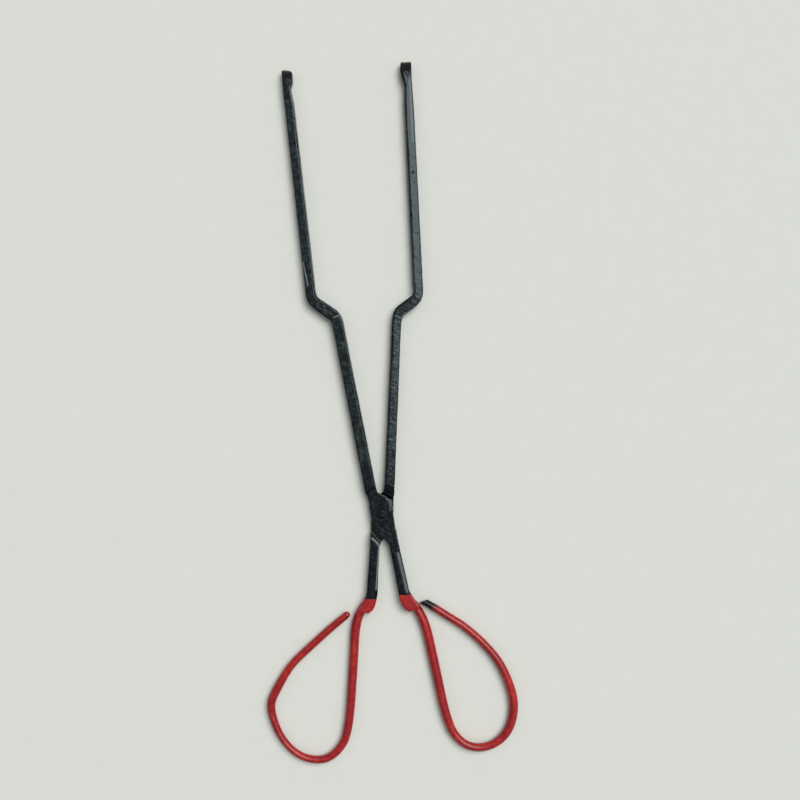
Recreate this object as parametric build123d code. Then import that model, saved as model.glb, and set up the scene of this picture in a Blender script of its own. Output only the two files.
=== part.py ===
from build123d import *
import math
import os

# Crucible tongs: two forged limbs crossing at a half-lap boss, held by one rivet, with red-dipped hand loops.
# Row frame: +Y along the tongs towards the jaws, +X to the right, +Z up along the pivot axis.
# The tongs lie flat on Z = 0, and the pivot axis is X = Y = 0.
#
# Each limb is laid out in its own limb frame: the limb as it lies when the arms are closed, its jaw arm on
# the left (-X) and its hand loop on the right (+X). The lower limb is the same forging turned over about Y.

# Pose of the two limbs at rest: how far each jaw arm stands open from the centre plane.
UPPER_OPEN_DEG = 6.9
LOWER_OPEN_DEG = 6.7

# Bar stock, drawn down slightly from the boss towards the nibs and the hand loops.
BAR_THICKNESS = 7.0
BAR_MIDDLE = BAR_THICKNESS / 2
NIB_THICKNESS = 6.4
NIB_END_THICKNESS = 4.2
MID_SHANK_THICKNESS = 6.7
SHANK_THICKNESS = 6.3
SHOULDER_THICKNESS = 5.8
BAR_CHAMFER = 0.8

# Boss: one plate per limb, half the height each, with a thin gap between them.
LAP_GAP = 0.1
OUTER_RECESS = 0.7
BOSS_ARM_Y = 16.0
BOSS_SHANK_Y = -21.0
BOSS_CHAMFER = 0.5
RECESS_OVERHANG = 13.0
CUT_MARGIN = 1.0

# Rivet: running fit in the upper limb, tight in the lower limb.
RIVET_RADIUS = 2.25
RIVET_CLEARANCE = 0.05
HEAD_RADIUS = 3.8
HEAD_HEIGHT = 2.2
HEAD_LIFT = 0.04
TAIL_RADIUS = 3.4
TAIL_EDGE = 0.3

# Hand loops: round rein under a dip coat.
COAT = 0.2
REIN_START = (3.6, -53.0, 2.4)
FILLET_SHARE = 0.45
UPPER_DIP_Y = -54.0
LOWER_DIP_Y = -55.0
ABOVE_DIP = 40.0
CHISEL_CUT = ((19.4, -59.9), (12.4, -61.0))
CHISEL_REACH = 6.0
BARE_END_LENGTH = 9.0

# A station is a cut across a bar: its inner edge point, its outer edge point and its thickness.
UPPER_ARM = [
    ((-0.5, BOSS_ARM_Y), (-8.2, BOSS_ARM_Y), BAR_THICKNESS),
    ((-0.7, 126.5), (-8.2, 123.5), BAR_THICKNESS),
    ((-1.1, 130.0), (-8.4, 126.8), BAR_THICKNESS),
    ((-2.6, 133.4), (-9.2, 128.8), BAR_THICKNESS),
    ((-5.6, 136.6), (-11.2, 130.9), BAR_THICKNESS),
    ((-12.6, 143.6), (-17.8, 138.2), BAR_THICKNESS),
    ((-14.0, 145.4), (-20.4, 141.6), BAR_THICKNESS),
    ((-14.3, 147.6), (-21.3, 145.6), BAR_THICKNESS),
    ((-14.1, 152.0), (-21.0, 151.0), BAR_THICKNESS),
    ((-4.7, 270.5), (-10.9, 271.5), NIB_THICKNESS),
    ((-4.5, 281.4), (-10.0, 281.8), NIB_THICKNESS),
    ((-3.3, 283.2), (-9.8, 283.6), NIB_THICKNESS),
    ((-2.8, 285.5), (-9.3, 286.3), NIB_THICKNESS),
    ((-2.2, 289.8), (-8.8, 291.6), NIB_THICKNESS),
    ((-2.9, 291.4), (-8.4, 293.0), NIB_END_THICKNESS),
]
LOWER_ARM = [
    ((-0.4, BOSS_ARM_Y), (-7.4, BOSS_ARM_Y), BAR_THICKNESS),
    ((-0.5, 123.5), (-7.1, 121.5), BAR_THICKNESS),
    ((-0.9, 128.0), (-7.3, 125.0), BAR_THICKNESS),
    ((-2.4, 132.3), (-8.4, 127.9), BAR_THICKNESS),
    ((-5.3, 135.3), (-10.4, 129.7), BAR_THICKNESS),
    ((-11.5, 140.1), (-16.2, 134.6), BAR_THICKNESS),
    ((-13.2, 141.6), (-19.2, 138.2), BAR_THICKNESS),
    ((-13.7, 143.8), (-20.3, 142.2), BAR_THICKNESS),
    ((-12.95, 148.5), (-20.0, 148.0), BAR_THICKNESS),
    ((-2.35, 264.0), (-9.0, 264.5), NIB_THICKNESS),
    ((-1.9, 276.0), (-7.5, 276.2), NIB_THICKNESS),
    ((-0.4, 281.0), (-6.9, 281.4), NIB_THICKNESS),
    ((0.6, 285.0), (-6.6, 285.4), NIB_THICKNESS),
    ((0.8, 290.1), (-6.1, 290.6), NIB_THICKNESS),
    ((0.5, 291.3), (-5.8, 291.9), NIB_END_THICKNESS),
]
SHANK = [
    ((0.6, BOSS_SHANK_Y), (6.9, BOSS_SHANK_Y), BAR_THICKNESS),
    ((0.8, -38.0), (7.3, -38.0), MID_SHANK_THICKNESS),
    ((0.6, -51.5), (7.6, -51.5), SHANK_THICKNESS),
]
# Below the shank each bar swells and slants outwards into a shoulder, where the round rein starts.
UPPER_SHOULDER = [
    ((0.8, -57.0), (8.9, -56.5), SHANK_THICKNESS),
    ((2.4, -62.6), (11.0, -60.8), SHOULDER_THICKNESS),
    ((4.9, -65.2), (12.6, -63.4), SHOULDER_THICKNESS),
]
LOWER_SHOULDER = [
    ((1.5, -57.0), (9.4, -56.5), SHANK_THICKNESS),
    ((3.2, -62.2), (11.4, -60.6), SHOULDER_THICKNESS),
    ((6.2, -64.4), (13.0, -62.8), SHOULDER_THICKNESS),
]

# Boss outline in the limb frame, from the arm's inner edge clockwise round to the arm's outer edge.
BOSS_INNER_SIDE = [(-0.5, 14.3), (1.2, 12.9), (4.8, 10.6), (7.6, 6.9), (7.7, 3.0), (7.0, -3.0), (6.8, -9.5)]
BOSS_OUTER_SIDE = [
    (-0.4, -18.0), (-2.2, -15.9), (-4.5, -13.3), (-6.5, -9.8), (-7.6, -5.5), (-7.4, 2.0), (-7.0, 10.2),
]

# Step walls in the limb frame: lap walls stop the half-lap, face steps stop the shallow outer recess.
LAP_WALL_ARM = ((-0.5, 14.3), (-8.2, 10.3))
LAP_WALL_SHANK = ((0.6, -19.0), (6.9, -11.9))
FACE_STEP_ARM = ((-0.5, 18.4), (-5.6, 16.2))
FACE_STEP_SHANK = ((0.6, -20.5), (6.9, -16.0))

# Reins in the limb frame, from the shoulder round the hand loop to the open end: corners of the centreline,
# each with the rein's radius there. Hand forging leaves a rein thicker in some bends than in others.
UPPER_REIN = [
    REIN_START, (13.6, -69.4, 2.9), (14.5, -98.8, 2.9), (15.3, -141.5, 2.65), (21.3, -154.9, 2.45),
    (30.8, -160.8, 2.45), (42.2, -160.5, 2.5), (52.3, -154.7, 2.6), (58.6, -143.8, 2.7), (60.8, -130.4, 2.65),
    (56.8, -110.0, 2.45), (48.7, -95.2, 2.35), (38.1, -81.5, 2.35), (30.0, -74.2, 2.3), (21.0, -65.6, 2.3),
    (12.9, -58.5, 2.3),
]
LOWER_REIN = [
    REIN_START, (14.1, -67.2, 2.9), (14.2, -96.7, 2.75), (15.2, -142.6, 2.6), (21.8, -155.1, 2.4),
    (30.9, -161.1, 2.35), (43.6, -160.1, 2.25), (53.9, -153.4, 2.15), (62.0, -142.3, 2.2),
    (67.2, -126.7, 2.55), (63.2, -116.6, 2.65), (54.9, -100.5, 2.3), (43.0, -88.4, 2.3), (30.0, -75.4, 2.25),
    (20.0, -66.5, 2.1),
]


def station_wire(inner, outer, thickness, grow=0.0):
    """Octagonal cut across a bar, from its inner to its outer edge point, grown outwards by grow."""
    across = (Vector(*outer) - Vector(*inner)).normalized()
    near = Vector(*inner) - across * grow
    far = Vector(*outer) + across * grow
    low = BAR_MIDDLE - thickness / 2 - grow
    high = BAR_MIDDLE + thickness / 2 + grow
    cut = across * BAR_CHAMFER
    up = Vector(0, 0, 1)
    corners = [
        near + cut + up * low,
        far - cut + up * low,
        far + up * (low + BAR_CHAMFER),
        far + up * (high - BAR_CHAMFER),
        far - cut + up * high,
        near + cut + up * high,
        near + up * (high - BAR_CHAMFER),
        near + up * (low + BAR_CHAMFER),
    ]
    return Wire.make_polygon(corners, close=True)


def bar(stations, grow=0.0):
    """Forged bar with straight edges from each station to the next."""
    return Solid.make_loft([station_wire(*station, grow) for station in stations], ruled=True)


def between_steps(first, second, low, high):
    """Prism between two slanted step lines, overhanging the limb on both sides."""
    corners = []
    for start, end in (first, second):
        along = (Vector(*end) - Vector(*start)).normalized() * RECESS_OVERHANG
        corners += [Vector(*start) - along, Vector(*end) + along]
    face = make_face(Polyline(corners[0], corners[1], corners[2], corners[3], close=True))
    return extrude(Pos(0, 0, low) * face, high - low)


def boss_block(arm):
    """Full-height boss between the end of the arm and the start of the shank."""
    arm_inner, arm_outer = arm[0][0], arm[0][1]
    shank_inner, shank_outer = SHANK[0][0], SHANK[0][1]
    outline = [arm_inner] + BOSS_INNER_SIDE + [shank_outer, shank_inner] + BOSS_OUTER_SIDE + [arm_outer]
    face = make_face(Polyline(*outline, close=True))
    block = extrude(face, BAR_THICKNESS)
    rims = block.faces().filter_by(Axis.Z).edges()
    return chamfer(rims, BOSS_CHAMFER)


def bend_radii(corners):
    """Bend radius at each inner corner: as large as the two runs beside it allow."""
    radii = []
    for before, here, after in zip(corners, corners[1:], corners[2:]):
        incoming = Vector(*here) - Vector(*before)
        outgoing = Vector(*after) - Vector(*here)
        half_turn = math.radians(incoming.get_angle(outgoing)) / 2
        radii.append(FILLET_SHARE * min(incoming.length, outgoing.length) / math.tan(half_turn))
    return radii


def disc(edge, along, radius):
    """Round section of the rein, square to its centreline."""
    return Plane(origin=edge @ along, z_dir=edge % along) * Circle(radius)


def straight_run(edge, radius, next_radius):
    """Tapered straight length of rein."""
    start = disc(edge, 0, radius).face().outer_wire()
    end = disc(edge, 1, next_radius).face().outer_wire()
    return Solid.make_loft([start, end], ruled=True)


def curved_run(edge, radius):
    """Bend of the rein, of one diameter."""
    turn_axis = (edge % 0).cross(edge % 1)
    turn = math.degrees(edge.length / edge.radius)
    return revolve(disc(edge, 0, radius), Axis(edge.arc_center, turn_axis), turn)


def rein(corners, grow=0.0):
    """Round rein along its centreline. Straight runs take up the taper, and bends keep one diameter."""
    places = [(x, y) for x, y, radius in corners]
    radii = [radius + grow for x, y, radius in corners]
    path = Pos(0, 0, BAR_MIDDLE) * FilletPolyline(*places, radius=bend_radii(places))
    rod = Part()
    passed = 0
    for edge in path.edges():
        if edge.geom_type == GeomType.CIRCLE:
            rod += curved_run(edge, radii[passed])
        else:
            rod += straight_run(edge, radii[passed], radii[passed + 1])
            passed += 1
    return rod


def end_plane(corners, back=0.0):
    """Plane across the rein near its open end, facing out of the rod."""
    last = Vector(*corners[-1][:2])
    outwards = (last - Vector(*corners[-2][:2])).normalized()
    return Plane(origin=last - outwards * back + Vector(0, 0, BAR_MIDDLE), z_dir=outwards)


def rounded_end(corners, grow=0.0):
    """Ball that rounds off the rein's open end."""
    return end_plane(corners) * Sphere(corners[-1][2] + grow)


def chisel_cut():
    """Room beyond the slanted cut that parted the upper limb's rein from its bar."""
    start, end = Vector(*CHISEL_CUT[0]), Vector(*CHISEL_CUT[1])
    beyond = (end - start).normalized().rotate(Axis.Z, -90) * CHISEL_REACH
    face = make_face(Polyline(start, end, end + beyond, start + beyond, close=True))
    return extrude(face, BAR_THICKNESS)


def bare_end(corners):
    """Room over the rein's open end, which the dip coat leaves bare."""
    upwards = (Align.CENTER, Align.CENTER, Align.MIN)
    room = Cylinder(2 * REIN_START[2], 2 * BARE_END_LENGTH, align=upwards)
    return end_plane(corners, BARE_END_LENGTH) * room


def limb(arm, shoulder, corners, end, bore_radius):
    """One forging in the limb frame: arm, boss with its recesses and bore, shank, shoulder and rein."""
    body = boss_block(arm) + bar(arm) + bar(SHANK + shoulder) + rein(corners) + end
    lap_height = BAR_MIDDLE + LAP_GAP / 2
    body -= between_steps(LAP_WALL_ARM, LAP_WALL_SHANK, -CUT_MARGIN, lap_height)
    plate_height = BAR_THICKNESS - OUTER_RECESS
    body -= between_steps(FACE_STEP_ARM, FACE_STEP_SHANK, plate_height, BAR_THICKNESS + CUT_MARGIN)
    body -= Pos(0, 0, BAR_MIDDLE) * Cylinder(bore_radius, 2 * BAR_THICKNESS)
    return body


def coat(steel, shoulder, corners, end, dip_y):
    """Dip coat in the limb frame: shoulder and rein grown outwards, below the dip line, less the steel."""
    coated = SHANK[-1:] + shoulder[:-1] + [extended_last(shoulder)]
    skin = bar(coated, COAT) + rein(corners, COAT) + end
    from_dip = (Align.CENTER, Align.MIN, Align.CENTER)
    above = Pos(0, dip_y, 0) * Box(ABOVE_DIP, ABOVE_DIP, ABOVE_DIP, align=from_dip)
    return skin - above - steel


def extended_last(stations):
    """Last station moved on by the coat's thickness, so that the end face is coated too."""
    inner, outer, thickness = stations[-1]
    before = stations[-2]
    moved = []
    for point, previous in ((inner, before[0]), (outer, before[1])):
        shifted = Vector(*point) + (Vector(*point) - Vector(*previous)).normalized() * COAT
        moved.append((shifted.X, shifted.Y))
    return (moved[0], moved[1], thickness)


def upper_at_rest(shape):
    """From the limb frame to the upper limb's place."""
    return Rot(0, 0, UPPER_OPEN_DEG) * shape


def lower_at_rest(shape):
    """From the limb frame to the lower limb's place: turned over about Y, then swung open."""
    turned_over = Pos(0, 0, BAR_THICKNESS) * Rot(0, 180, 0) * shape
    return Rot(0, 0, -LOWER_OPEN_DEG) * turned_over


def rivet():
    """Rivet with a hammered button head on the upper plate and a flat peened tail under the lower plate."""
    head_seat = BAR_THICKNESS - OUTER_RECESS + HEAD_LIFT
    ball_radius = (HEAD_RADIUS**2 + HEAD_HEIGHT**2) / (2 * HEAD_HEIGHT)
    ball = Pos(0, 0, head_seat + HEAD_HEIGHT - ball_radius) * Sphere(ball_radius)
    upwards = (Align.CENTER, Align.CENTER, Align.MIN)
    head = ball & Pos(0, 0, head_seat) * Cylinder(2 * HEAD_RADIUS, 2 * HEAD_HEIGHT, align=upwards)
    shank = Cylinder(RIVET_RADIUS, head_seat, align=upwards)
    tail = Cylinder(TAIL_RADIUS, OUTER_RECESS, align=upwards)
    tail = chamfer(tail.faces().sort_by(Axis.Z)[0].edges(), TAIL_EDGE)
    return head + shank + tail


def main():
    running_radius = RIVET_RADIUS + RIVET_CLEARANCE
    upper_steel = limb(UPPER_ARM, UPPER_SHOULDER, UPPER_REIN, Part(), running_radius) - chisel_cut()
    lower_steel = limb(LOWER_ARM, LOWER_SHOULDER, LOWER_REIN, rounded_end(LOWER_REIN), RIVET_RADIUS)

    upper_coat = coat(upper_steel, UPPER_SHOULDER, UPPER_REIN, Part(), UPPER_DIP_Y) - bare_end(UPPER_REIN)
    coat_end = rounded_end(LOWER_REIN, COAT)
    lower_coat = coat(lower_steel, LOWER_SHOULDER, LOWER_REIN, coat_end, LOWER_DIP_Y)

    nodes = {
        "upper_limb": upper_at_rest(upper_steel),
        "lower_limb": lower_at_rest(lower_steel),
        "pivot_rivet": rivet(),
        "upper_handle_coat": upper_at_rest(upper_coat),
        "lower_handle_coat": lower_at_rest(lower_coat),
    }
    os.makedirs("parts", exist_ok=True)
    for name, shape in nodes.items():
        export_step(shape, f"parts/{name}.step")


main()
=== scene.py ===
import functools
import math
import bmesh
import bpy
import numpy as np
from mathutils import Matrix, Vector, noise


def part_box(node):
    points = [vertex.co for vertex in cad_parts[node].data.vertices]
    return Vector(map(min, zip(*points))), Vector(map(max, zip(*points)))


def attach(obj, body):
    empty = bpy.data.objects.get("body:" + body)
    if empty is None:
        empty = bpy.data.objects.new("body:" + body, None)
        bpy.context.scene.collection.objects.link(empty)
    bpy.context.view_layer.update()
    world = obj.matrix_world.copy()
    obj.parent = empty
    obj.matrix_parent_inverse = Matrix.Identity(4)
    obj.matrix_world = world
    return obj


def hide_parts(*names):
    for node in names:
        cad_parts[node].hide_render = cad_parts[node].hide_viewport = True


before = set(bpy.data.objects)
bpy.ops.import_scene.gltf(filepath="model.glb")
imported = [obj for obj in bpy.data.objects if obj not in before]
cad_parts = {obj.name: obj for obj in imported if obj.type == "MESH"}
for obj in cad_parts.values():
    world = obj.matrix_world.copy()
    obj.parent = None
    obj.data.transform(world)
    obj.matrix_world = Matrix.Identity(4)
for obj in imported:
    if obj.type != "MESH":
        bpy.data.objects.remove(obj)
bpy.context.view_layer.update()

# Pieces are shaped in millimetres in the limb frame, as in the CAD model: jaw arm on the left, hand loop on
# the right. place() then puts them into the row frame, in metres.
MM = 0.001
VOXEL = 0.36
UPPER_OPEN_DEG = 6.9
LOWER_OPEN_DEG = 6.7
BAR_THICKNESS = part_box("upper_limb")[1].z / MM
BAR_MIDDLE = BAR_THICKNESS / 2
NIB_THICKNESS = 6.4
NIB_END_THICKNESS = 5.4
MID_SHANK_THICKNESS = 6.7
SHANK_THICKNESS = 6.3
SHOULDER_THICKNESS = 5.8
EDGE_RADIUS = 1.0
BAR_STEP = 2.0
LAP_HEIGHT = BAR_MIDDLE + 0.05
RECESS_FLOOR = BAR_THICKNESS - 0.7
BOSS_ARM_Y = 16.0
BOSS_SHANK_Y = -21.0
BORE_RADIUS = 2.35
COAT = 0.2
REIN_SQUARENESS = 0.07
FACET_SLOPE = 0.78
LAP_HEIGHT_AT_WALL = 0.25
NIB_BEVEL_SLOPE = 0.42
BOSS_RIM = 0.55
RIVET_STEPS = 64

# A station is a cut across a bar: its inner edge point, its outer edge point and its thickness. The bars are
# forged a little out of true: a roll, in degrees, turns the cut's flat faces within the same outline.
UPPER_ARM = [
    ((-0.5, BOSS_ARM_Y), (-8.2, BOSS_ARM_Y), BAR_THICKNESS),
    ((-0.7, 126.5), (-8.2, 123.5), BAR_THICKNESS),
    ((-1.1, 130.0), (-8.4, 126.8), BAR_THICKNESS),
    ((-2.6, 133.4), (-9.2, 128.8), BAR_THICKNESS),
    ((-5.6, 136.6), (-11.2, 130.9), BAR_THICKNESS),
    ((-12.6, 143.6), (-17.8, 138.2), BAR_THICKNESS),
    ((-14.0, 145.4), (-20.4, 141.6), BAR_THICKNESS),
    ((-14.3, 147.6), (-21.3, 145.6), BAR_THICKNESS),
    ((-14.1, 152.0), (-21.0, 151.0), BAR_THICKNESS),
    ((-4.7, 270.5), (-10.9, 271.5), NIB_THICKNESS),
    ((-4.5, 281.4), (-10.0, 281.8), NIB_THICKNESS),
    ((-3.3, 283.2), (-9.8, 283.6), NIB_THICKNESS),
    ((-2.8, 285.5), (-9.3, 286.3), NIB_THICKNESS),
    ((-2.2, 289.8), (-8.8, 291.6), NIB_THICKNESS),
    ((-2.9, 291.4), (-8.4, 293.0), NIB_END_THICKNESS),
]
LOWER_ARM = [
    ((-0.4, BOSS_ARM_Y), (-7.4, BOSS_ARM_Y), BAR_THICKNESS),
    ((-0.5, 123.5), (-7.1, 121.5), BAR_THICKNESS),
    ((-0.9, 128.0), (-7.3, 125.0), BAR_THICKNESS),
    ((-2.4, 132.3), (-8.4, 127.9), BAR_THICKNESS),
    ((-5.3, 135.3), (-10.4, 129.7), BAR_THICKNESS),
    ((-11.5, 140.1), (-16.2, 134.6), BAR_THICKNESS),
    ((-13.2, 141.6), (-19.2, 138.2), BAR_THICKNESS),
    ((-13.7, 143.8), (-20.3, 142.2), BAR_THICKNESS),
    ((-12.95, 148.5), (-20.0, 148.0), BAR_THICKNESS),
    ((-2.35, 264.0), (-9.0, 264.5), NIB_THICKNESS),
    ((-1.9, 276.0), (-7.5, 276.2), NIB_THICKNESS),
    ((-0.4, 281.0), (-6.9, 281.4), NIB_THICKNESS),
    ((0.6, 285.0), (-6.6, 285.4), NIB_THICKNESS),
    ((0.8, 290.1), (-6.1, 290.6), NIB_THICKNESS),
    ((0.5, 291.3), (-5.8, 291.9), NIB_END_THICKNESS),
]
SHANK = [
    ((0.6, BOSS_SHANK_Y), (6.9, BOSS_SHANK_Y), BAR_THICKNESS),
    ((0.8, -38.0), (7.3, -38.0), MID_SHANK_THICKNESS),
    ((0.6, -51.5), (7.6, -51.5), SHANK_THICKNESS),
]
UPPER_SHOULDER = [
    ((0.8, -57.0), (8.9, -56.5), SHANK_THICKNESS),
    ((2.4, -62.6), (11.0, -60.8), SHOULDER_THICKNESS),
    ((4.9, -65.2), (12.6, -63.4), SHOULDER_THICKNESS),
]
LOWER_SHOULDER = [
    ((1.5, -57.0), (9.4, -56.5), SHANK_THICKNESS),
    ((3.2, -62.2), (11.4, -60.6), SHOULDER_THICKNESS),
    ((6.2, -64.4), (13.0, -62.8), SHOULDER_THICKNESS),
]
BOSS_INNER_SIDE = [(-0.5, 14.3), (1.2, 12.9), (4.8, 10.6), (7.6, 6.9), (7.7, 3.0), (7.0, -3.0), (6.8, -9.5)]
BOSS_OUTER_SIDE = [
    (-0.4, -18.0), (-2.2, -15.9), (-4.5, -13.3), (-6.5, -9.8), (-7.6, -5.5), (-7.4, 2.0), (-7.0, 10.2),
]
LAP_WALL_ARM = ((-0.5, 14.3), (-8.2, 10.3))
LAP_WALL_SHANK = ((0.6, -19.0), (6.9, -11.9))
FACE_STEP_ARM = ((-0.5, 18.4), (-5.6, 16.2))
RAMP_START_Y = -10.0
RAMP_END_Y = -22.0
PLATE_DISH = 0.7
LAP_DIP = 1.0
LAP_DIP_SLOPE = 0.6
LAP_DIP_REACH = 3.2
LAP_CREST = ((0.0, 19.6), (-7.4, 18.2))

# Lines on the lower limb's shank, where it comes out from under the upper plate, and along its inner edge.
FIRST_LIP = ((0.6, -18.9), (6.5, -11.6))
SECOND_LIP = ((0.7, -20.9), (5.9, -16.2))
# Share of the way from the first lip to the second, and the height above the bar's middle there.
LIP_PROFILE = [(-0.3, -0.05), (0.0, 1.8), (0.3, 2.0), (0.55, 1.3), (0.7, 1.3), (0.88, 3.4), (1.0, BAR_MIDDLE)]
SHANK_GLINT = [(0.7, -20.9), (1.6, -24.5), (1.6, -29.6), (1.8, -39.3), (2.0, -48.9), (2.4, -60.0)]
SHANK_CROWN = 0.55
CHISEL_CUT = ((19.4, -59.9), (12.4, -61.0))

# Grooves, nicks and scratches: a line, how wide and how deep.
UPPER_MARKS = [
    ([(-6.6, 67.0), (-6.2, 67.7)], 0.6, 0.35),
    ([(-5.5, 130.6), (-1.0, 131.7)], 0.45, 0.28),
    ([(-18.6, 168.5), (-18.3, 153.4)], 0.35, 0.12),
    ([(-17.4, 176.0), (-16.2, 190.0)], 0.35, 0.10),
    ([(-3.0, 40.0), (-5.5, 52.0)], 0.4, 0.10),
]
LOWER_MARKS = [
    ([(-10.4, 220.0), (-10.2, 220.5)], 0.7, 0.4),
    ([(-2.4, 129.0), (-7.9, 126.6)], 0.5, 0.22),
    ([(-17.6, 160.0), (-16.9, 171.0)], 0.35, 0.12),
    ([(-4.0, 60.0), (-3.4, 75.0)], 0.4, 0.10),
]

# Painted highlights: lines where the steel's colour is lightened to stand in for crests catching the light: a
# line, how wide and how bright.
UPPER_PAINTED_HIGHLIGHTS = [
    ([(5.3, -27.0), (5.8, -40.0), (6.3, -52.0)], 0.9, 0.30),
    ([(6.6, 8.0), (7.3, 2.0)], 0.3, 0.4),
    ([(4.9, 9.3), (5.9, 5.0), (5.6, 1.0)], 0.25, 0.35),
    ([(-18.7, 168.5), (-18.4, 153.4)], 0.3, 0.5),
    ([(-5.5, 130.0), (-3.0, 130.6)], 0.5, 0.4),
    ([(-5.2, 264.0), (-5.0, 279.0)], 0.5, 0.35),
]
LOWER_PAINTED_HIGHLIGHTS = [
    ([(6.4, -11.3), (5.4, -12.6)], 0.55, 1.0),
    ([(5.4, -12.6), (4.2, -14.2), (2.0, -16.8), (0.8, -18.3)], 0.32, 0.6),
    ([(5.8, -16.0), (3.7, -17.6), (1.6, -19.6), (0.9, -20.7)], 0.3, 0.75),
    ([(0.9, -21.2), (1.2, -24.5), (1.25, -29.6), (1.45, -39.3), (1.65, -48.9)], 0.3, 0.65),
    ([(-7.3, 127.6), (-13.0, 132.0), (-18.9, 136.4)], 0.5, 0.25),
    ([(-5.4, 281.0), (-6.6, 270.0), (-9.5, 240.0)], 0.6, 0.2),
]
# The crease where the left hand loop was bent, which shows in the steel and in the coat over it.
KINK_GROOVE = [
    ([(62.6, -110.7), (64.6, -117.8), (65.3, -122.4), (65.8, -126.9), (66.0, -130.1), (64.5, -133.9)],
     0.55, 0.3),
]

# One roll for each station of the arm, and the line where each nib's bevel starts.
UPPER_ROLLS = [-2.0, -4.0, -4.0, -3.0, 0.0, 0.0, -4.0, -5.0, -5.0, -4.0, -3.0, 0.0, 0.0, 0.0, 0.0]
LOWER_ROLLS = [6.0, 7.0, 6.0, 4.0, 2.0, 2.0, 5.0, 9.0, 10.0, 10.0, 8.0, 4.0, 0.0, 0.0, 0.0]
UPPER_BEVEL = ((-3.6, 285.6), (-8.5, 287.0))
LOWER_BEVEL = ((-0.4, 285.0), (-6.2, 285.3))

# Reins in the limb frame, from the shoulder round the hand loop to the open end: corners of the centreline,
# each with the rein's radius there.
REIN_START = (3.6, -53.0, 2.4)
UPPER_REIN = [
    REIN_START, (13.6, -69.4, 2.9), (14.5, -98.8, 2.9), (15.3, -141.5, 2.65), (21.3, -154.9, 2.45),
    (30.8, -160.8, 2.45), (42.2, -160.5, 2.5), (52.3, -154.7, 2.6), (58.6, -143.8, 2.7), (60.8, -130.4, 2.65),
    (56.8, -110.0, 2.45), (48.7, -95.2, 2.35), (38.1, -81.5, 2.35), (30.0, -74.2, 2.3), (21.0, -65.6, 2.3),
    (12.9, -58.5, 2.3),
]
LOWER_REIN = [
    REIN_START, (14.1, -67.2, 2.9), (14.2, -96.7, 2.75), (15.2, -142.6, 2.6), (21.8, -155.1, 2.4),
    (30.9, -161.1, 2.35), (43.6, -160.1, 2.25), (53.9, -153.4, 2.15), (62.0, -142.3, 2.2),
    (67.2, -126.7, 2.55), (63.2, -116.6, 2.65), (54.9, -100.5, 2.3), (43.0, -88.4, 2.3), (30.0, -75.4, 2.25),
    (20.0, -66.5, 2.1),
]

# Each dip line: its height at DIP_MIDDLE_X and its slant. The upper rein's chiselled end stays bare.
UPPER_DIP = (-54.0, -0.196)
LOWER_DIP = (-55.0, -0.044)
DIP_MIDDLE_X = 4.0
BARE_END_LENGTH = 9.0

# How the hammer and the scale leave the skin: depth, width of a bump, seed offset and stretch along the bar.
SKIN_WAVES = [
    (0.10, 14.0, 0.0, (1, 2.0, 1)),
    (0.07, 3.2, 11.0, (1, 6.0, 1)),
    (0.11, 4.5, 17.0, (1, 1, 1)),
    (0.05, 1.7, 23.0, (1, 1, 1)),
]
SKIN_LOSS = 0.06
PIT_WIDTH = 2.2
PIT_SEED = 37.0
PIT_LIMIT = 0.45
PIT_DEPTH = 0.4
LOSS_UNDER_COAT = 0.16

# Flats planished on the rivet's head: which way each faces, and its share of the head's reach that way.
RIVET_FLATS = [
    ((-0.34, -0.10, 0.93), 0.83),
    ((0.22, -0.06, 0.97), 0.86),
    ((0.5, 0.5, 0.7), 0.92),
    ((0.0, -0.7, 0.7), 0.9),
]

# Stage, in metres. Each sun has a direction it shines from, a strength and an angular width in degrees.
FLOOR_REACH = 3.0
LAMP_COLOUR = (1.0, 0.995, 0.98)
SKY_COLOUR = (0.97, 0.98, 1.0, 1)
SKY_STRENGTH = 0.12
CEILING = ((0.10, 0.25, 1.0), 0.75, 150.0)
WINDOW = ((0.48, 0.38, 1.0), 2.35, 42.0)
VIEW_WIDTH = 0.514
VIEW_CENTRE = (0.0169, 0.0722)
CAMERA_HEIGHT = 0.70
CAMERA_ROLL_DEG = -4.2
SENSOR_WIDTH = 36.0

# Everything that sets one limb apart. face is the side that shows: 1 for the limb frame's top, -1 for below.
UPPER = {
    "name": "upper", "body": "upper_half", "face": 1, "seed": 3.1, "arm": UPPER_ARM, "rolls": UPPER_ROLLS,
    "shank": SHANK + UPPER_SHOULDER, "rein": UPPER_REIN, "chiselled": True, "dip": UPPER_DIP,
    "bevel": UPPER_BEVEL, "facets": (1.1, 1.2), "marks": UPPER_MARKS, "coat_marks": [],
    "painted_highlights": UPPER_PAINTED_HIGHLIGHTS, "fade": 12.0,
}
LOWER = {
    "name": "lower", "body": "lower_half", "face": -1, "seed": 57.3, "arm": LOWER_ARM, "rolls": LOWER_ROLLS,
    "shank": SHANK + LOWER_SHOULDER, "rein": LOWER_REIN, "chiselled": False, "dip": LOWER_DIP,
    "bevel": LOWER_BEVEL, "facets": (1.7, 1.0), "marks": LOWER_MARKS + KINK_GROOVE, "coat_marks": KINK_GROOVE,
    "painted_highlights": LOWER_PAINTED_HIGHLIGHTS, "fade": 3.5,
}


# ---------------------------------------------------------------- mesh building, in millimetres


def mesh_object(name, points, faces):
    """New object from points and faces."""
    mesh = bpy.data.meshes.new(name)
    mesh.from_pydata([tuple(p) for p in points], [], faces)
    obj = bpy.data.objects.new(name, mesh)
    bpy.context.scene.collection.objects.link(obj)
    return obj


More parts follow.
